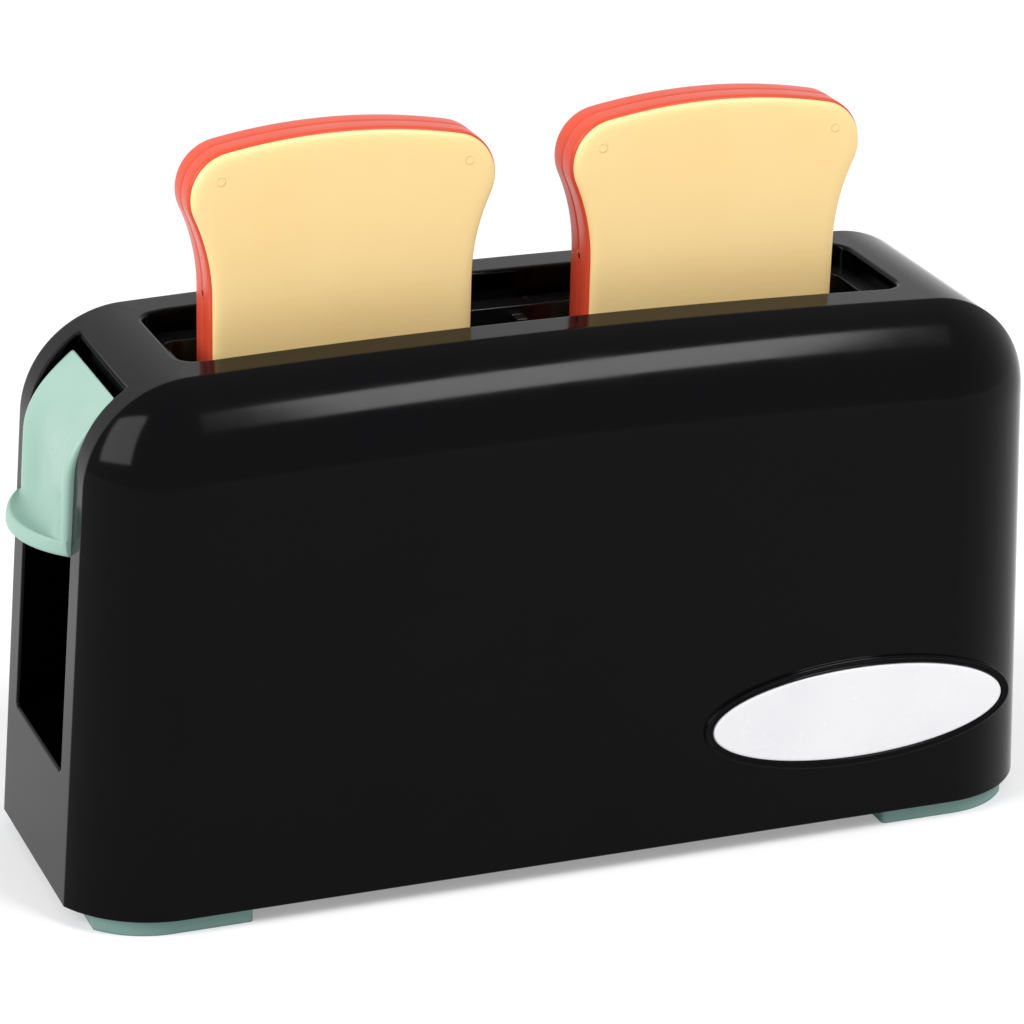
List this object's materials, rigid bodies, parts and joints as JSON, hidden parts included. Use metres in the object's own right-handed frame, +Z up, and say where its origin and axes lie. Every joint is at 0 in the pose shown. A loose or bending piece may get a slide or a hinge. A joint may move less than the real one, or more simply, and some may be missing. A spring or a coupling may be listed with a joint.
{
  "type": "toy toaster",
  "caption": "Toy pop-up toaster: rounded gloss black housing with a long slot, mint press-down lever, oval blank badge and toy toast slices on a spring carriage.",
  "frame": {"origin": "on the surface that the feet stand on, under the middle of the whole outline, thumb ledge included", "axes": "+Z up, +X along the slot away from the lever, -Y is the front with the badge"},
  "size_m": [0.2238, 0.0759, 0.1598],
  "materials": {
    "shell_black": "gloss",
    "inner_black": "satin",
    "mint_plastic": "satin",
    "feet_mint": "matte",
    "badge_silver": "satin",
    "screw_steel": "satin",
    "rod_steel": "polished",
    "spring_steel": "satin",
    "carriage_grey": "satin",
    "catch_plastic": "satin",
    "crust_plastic": "satin",
    "crumb_plastic": "satin"
  },
  "bodies": {
    "housing_body": {"housing": "shell_black", "base_plate": "inner_black", "foot_front_left": "feet_mint", "foot_front_right": "feet_mint", "foot_back_left": "feet_mint", "foot_back_right": "feet_mint", "base_screws": "screw_steel", "bread_guide": "inner_black", "guide_screws": "screw_steel", "badge_plate": "badge_silver", "guide_rod_left": "rod_steel", "guide_rod_right": "rod_steel", "return_spring_left": "spring_steel", "return_spring_right": "spring_steel", "catch_clip": "catch_plastic"},
    "carriage_body": {"lever": "mint_plastic", "lever_screws": "screw_steel", "carriage": "carriage_grey"},
    "toast_left_body": {"toast_left_crust": "crust_plastic", "toast_left_front": "crumb_plastic", "toast_left_back": "crumb_plastic"},
    "toast_right_body": {"toast_right_crust": "crust_plastic", "toast_right_front": "crumb_plastic", "toast_right_back": "crumb_plastic"}
  },
  "joints": [
    {"name": "lever_press", "type": "slide", "parent": "housing_body", "child": "carriage_body", "axis": [0, 0, -1], "range_m": [0, 0.045], "stiffness_N_per_m": 60, "springref_m": -0.03, "deforming": ["return_spring_left", "return_spring_right"]},
    {"name": "toast_left_lift", "type": "slide", "parent": "carriage_body", "child": "toast_left_body", "axis": [0, 0, 1], "range_m": [0, 0.045]},
    {"name": "toast_right_lift", "type": "slide", "parent": "carriage_body", "child": "toast_right_body", "axis": [0, 0, 1], "range_m": [0, 0.045]}
  ]
}
